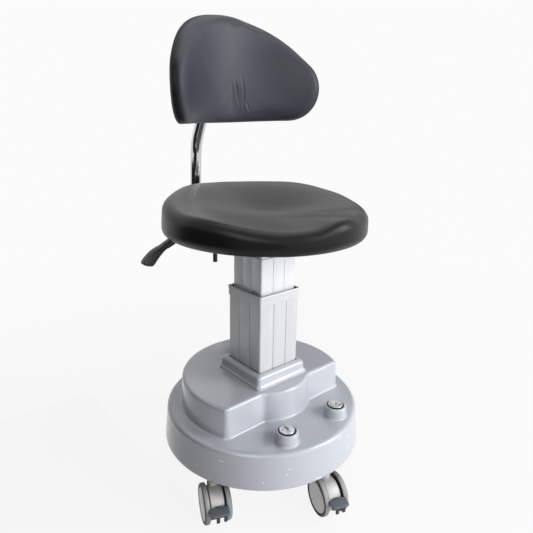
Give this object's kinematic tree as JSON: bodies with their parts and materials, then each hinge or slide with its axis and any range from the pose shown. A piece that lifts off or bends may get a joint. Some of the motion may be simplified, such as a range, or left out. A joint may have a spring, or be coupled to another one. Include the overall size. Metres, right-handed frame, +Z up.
{
  "type": "surgeon stool",
  "caption": "Electric surgeon stool: round caster base with foot buttons, square lifting column, dished black seat that swivels and a wrapped back pad on a bent tube.",
  "frame": {"origin": "on the floor under the column's axis", "axes": "+Z up, front of the seat towards -Y, +X to the right seen from the front"},
  "size_m": [0.4306, 0.5215, 0.935],
  "materials": {
    "cover_grey": "glossy silver-grey paint",
    "plate_steel": "dark painted steel",
    "satin_aluminium": "satin anodised",
    "collar_aluminium": "satin",
    "nylon_white": "moulded nylon",
    "motor_steel": "dark plated steel",
    "screw_steel": "bright steel",
    "nut_brass": "machined",
    "box_plastic": "moulded black",
    "battery_grey": "moulded dark grey",
    "button_chrome": "satin chrome",
    "tube_chrome": "polished chrome",
    "seat_leather": "black leatherette",
    "back_leather": "black leatherette",
    "plywood": "plain plywood",
    "black_shell": "moulded black",
    "black_steel": "black painted steel",
    "black_plastic": "moulded black",
    "hood_silver": "metallised silver",
    "wheel_grey": "grey tread with a silver hub",
    "pedal_slate": "moulded slate grey"
  },
  "bodies": {
    "base": {"base_cover": "cover_grey", "base_plate": "plate_steel", "column_foot": "plate_steel", "outer_column": "satin_aluminium", "column_collar": "collar_aluminium", "upper_glide": "nylon_white", "lift_motor": "motor_steel", "gearbox": "motor_steel", "control_box": "box_plastic", "battery_pack": "battery_grey", "charge_inlet": "box_plastic", "up_switch": "box_plastic", "down_switch": "box_plastic", "caster_front_stem": "hood_silver", "caster_right_stem": "hood_silver", "caster_rear_right_stem": "hood_silver", "caster_rear_left_stem": "hood_silver", "caster_left_stem": "hood_silver"},
    "screw": {"lead_screw": "screw_steel"},
    "lift": {"inner_column": "satin_aluminium", "lower_glide": "nylon_white", "lead_nut": "nut_brass", "column_cap": "plate_steel", "swivel_bearing": "screw_steel"},
    "seat": {"seat_plate": "black_steel", "seat_board": "plywood", "seat_cushion": "seat_leather", "tilt_bracket": "black_steel", "tilt_pin": "screw_steel"},
    "back": {"bar_knuckle": "black_steel", "back_bar": "tube_chrome", "back_clamp_screw": "black_plastic", "back_clamp": "black_steel", "back_board": "black_shell", "back_cushion": "back_leather"},
    "lever": {"lever_rod": "black_steel", "lever_grip": "black_plastic"},
    "up_button": {"up_button": "button_chrome"},
    "down_button": {"down_button": "button_chrome"},
    "caster_front": {"caster_front_hood": "hood_silver"},
    "caster_front_wheel_a": {"caster_front_wheel_a": "wheel_grey"},
    "caster_front_wheel_b": {"caster_front_wheel_b": "wheel_grey"},
    "caster_front_pedal": {"caster_front_pedal": "pedal_slate"},
    "caster_right": {"caster_right_hood": "hood_silver"},
    "caster_right_wheel_a": {"caster_right_wheel_a": "wheel_grey"},
    "caster_right_wheel_b": {"caster_right_wheel_b": "wheel_grey"},
    "caster_right_pedal": {"caster_right_pedal": "pedal_slate"},
    "caster_rear_right": {"caster_rear_right_hood": "hood_silver"},
    "caster_rear_right_wheel_a": {"caster_rear_right_wheel_a": "wheel_grey"},
    "caster_rear_right_wheel_b": {"caster_rear_right_wheel_b": "wheel_grey"},
    "caster_rear_right_pedal": {"caster_rear_right_pedal": "pedal_slate"},
    "caster_rear_left": {"caster_rear_left_hood": "hood_silver"},
    "caster_rear_left_wheel_a": {"caster_rear_left_wheel_a": "wheel_grey"},
    "caster_rear_left_wheel_b": {"caster_rear_left_wheel_b": "wheel_grey"},
    "caster_rear_left_pedal": {"caster_rear_left_pedal": "pedal_slate"},
    "caster_left": {"caster_left_hood": "hood_silver"},
    "caster_left_wheel_a": {"caster_left_wheel_a": "wheel_grey"},
    "caster_left_wheel_b": {"caster_left_wheel_b": "wheel_grey"},
    "caster_left_pedal": {"caster_left_pedal": "pedal_slate"}
  },
  "joints": [
    {"name": "column_lift", "type": "slide", "parent": "base", "child": "lift", "axis": [0, 0, 1], "range_m": [-0.07, 0.09]},
    {"name": "lead_screw_spin", "type": "hinge", "parent": "base", "child": "screw", "pos_m": [0, 0, 0.1591], "axis": [0, 0, 1], "continuous": true},
    {"name": "seat_swivel", "type": "hinge", "parent": "lift", "child": "seat", "pos_m": [0, 0, 0.4956], "axis": [0, 0, 1], "continuous": true},
    {"name": "back_tilt", "type": "hinge", "parent": "seat", "child": "back", "pos_m": [0, 0.135, 0.4985], "axis": [-1, 0, 0], "range_deg": [-5, 20]},
    {"name": "lever_lift", "type": "hinge", "parent": "seat", "child": "lever", "pos_m": [-0.043, 0.1493, 0.508], "axis": [0, 1, 0], "range_deg": [0, 6], "stiffness_Nm_per_rad": 2},
    {"name": "up_button_press", "type": "slide", "parent": "base", "child": "up_button", "axis": [0, 0, -1], "range_m": [0, 0.003], "stiffness_N_per_m": 1500, "springref_m": -0.001},
    {"name": "down_button_press", "type": "slide", "parent": "base", "child": "down_button", "axis": [0, 0, -1], "range_m": [0, 0.003], "stiffness_N_per_m": 1500, "springref_m": -0.001},
    {"name": "caster_front_swivel", "type": "hinge", "parent": "base", "child": "caster_front", "pos_m": [0.00587, -0.18691, 0.078], "axis": [0, 0, 1], "continuous": true},
    {"name": "caster_front_wheel_a_roll", "type": "hinge", "parent": "caster_front", "child": "caster_front_wheel_a", "pos_m": [0.0206, -0.20904, 0.0375], "axis": [0.9511, -0.309, 0], "continuous": true},
    {"name": "caster_front_wheel_b_roll", "type": "hinge", "parent": "caster_front", "child": "caster_front_wheel_b", "pos_m": [-0.01905, -0.19616, 0.0375], "axis": [0.9511, -0.309, 0], "continuous": true},
    {"name": "caster_front_pedal_tip", "type": "hinge", "parent": "caster_front", "child": "caster_front_pedal", "pos_m": [-0.00463, -0.21924, 0.0545], "axis": [0.9511, -0.309, 0], "range_deg": [0, 10]},
    {"name": "caster_right_swivel", "type": "hinge", "parent": "base", "child": "caster_right", "pos_m": [0.17958, -0.05217, 0.078], "axis": [0, 0, 1], "continuous": true},
    {"name": "caster_right_wheel_a_roll", "type": "hinge", "parent": "caster_right", "child": "caster_right_wheel_a", "pos_m": [0.19469, -0.07405, 0.0375], "axis": [0.9563, -0.2924, 0], "continuous": true},
    {"name": "caster_right_wheel_b_roll", "type": "hinge", "parent": "caster_right", "child": "caster_right_wheel_b", "pos_m": [0.15481, -0.06185, 0.0375], "axis": [0.9563, -0.2924, 0], "continuous": true},
    {"name": "caster_right_pedal_tip", "type": "hinge", "parent": "caster_right", "child": "caster_right_pedal", "pos_m": [0.16963, -0.08469, 0.0545], "axis": [0.9563, -0.2924, 0], "range_deg": [0, 10]},
    {"name": "caster_rear_right_swivel", "type": "hinge", "parent": "base", "child": "caster_rear_right", "pos_m": [0.10511, 0.15466, 0.078], "axis": [0, 0, 1], "continuous": true},
    {"name": "caster_rear_right_wheel_a_roll", "type": "hinge", "parent": "caster_rear_right", "child": "caster_rear_right_wheel_a", "pos_m": [0.12346, 0.13542, 0.0375], "axis": [0.9903, -0.1392, 0], "continuous": true},
    {"name": "caster_rear_right_wheel_b_roll", "type": "hinge", "parent": "caster_rear_right", "child": "caster_rear_right_wheel_b", "pos_m": [0.08217, 0.14123, 0.0375], "axis": [0.9903, -0.1392, 0], "continuous": true},
    {"name": "caster_rear_right_pedal_tip", "type": "hinge", "parent": "caster_rear_right", "child": "caster_rear_right_pedal", "pos_m": [0.10038, 0.121, 0.0545], "axis": [0.9903, -0.1392, 0], "range_deg": [0, 10]},
    {"name": "caster_rear_left_swivel", "type": "hinge", "parent": "base", "child": "caster_rear_left", "pos_m": [-0.11461, 0.14776, 0.078], "axis": [0, 0, 1], "continuous": true},
    {"name": "caster_rear_left_wheel_a_roll", "type": "hinge", "parent": "caster_rear_left", "child": "caster_rear_left_wheel_a", "pos_m": [-0.10066, 0.12512, 0.0375], "axis": [0.9397, -0.342, 0], "continuous": true},
    {"name": "caster_rear_left_wheel_b_roll", "type": "hinge", "parent": "caster_rear_left", "child": "caster_rear_left_wheel_b", "pos_m": [-0.13985, 0.13939, 0.0375], "axis": [0.9397, -0.342, 0], "continuous": true},
    {"name": "caster_rear_left_pedal_tip", "type": "hinge", "parent": "caster_rear_left", "child": "caster_rear_left_pedal", "pos_m": [-0.12624, 0.11581, 0.0545], "axis": [0.9397, -0.342, 0], "range_deg": [0, 10]},
    {"name": "caster_left_swivel", "type": "hinge", "parent": "base", "child": "caster_left", "pos_m": [-0.17594, -0.06334, 0.078], "axis": [0, 0, 1], "continuous": true},
    {"name": "caster_left_wheel_a_roll", "type": "hinge", "parent": "caster_left", "child": "caster_left_wheel_a", "pos_m": [-0.16279, -0.08645, 0.0375], "axis": [0.9272, -0.3746, 0], "continuous": true},
    {"name": "caster_left_wheel_b_roll", "type": "hinge", "parent": "caster_left", "child": "caster_left_wheel_b", "pos_m": [-0.20146, -0.07083, 0.0375], "axis": [0.9272, -0.3746, 0], "continuous": true},
    {"name": "caster_left_pedal_tip", "type": "hinge", "parent": "caster_left", "child": "caster_left_pedal", "pos_m": [-0.18868, -0.09487, 0.0545], "axis": [0.9272, -0.3746, 0], "range_deg": [0, 10]}
  ],
  "couplings": [
    {"joint": "lead_screw_spin", "follows": "column_lift", "rad_per_m": 785.4}
  ]
}
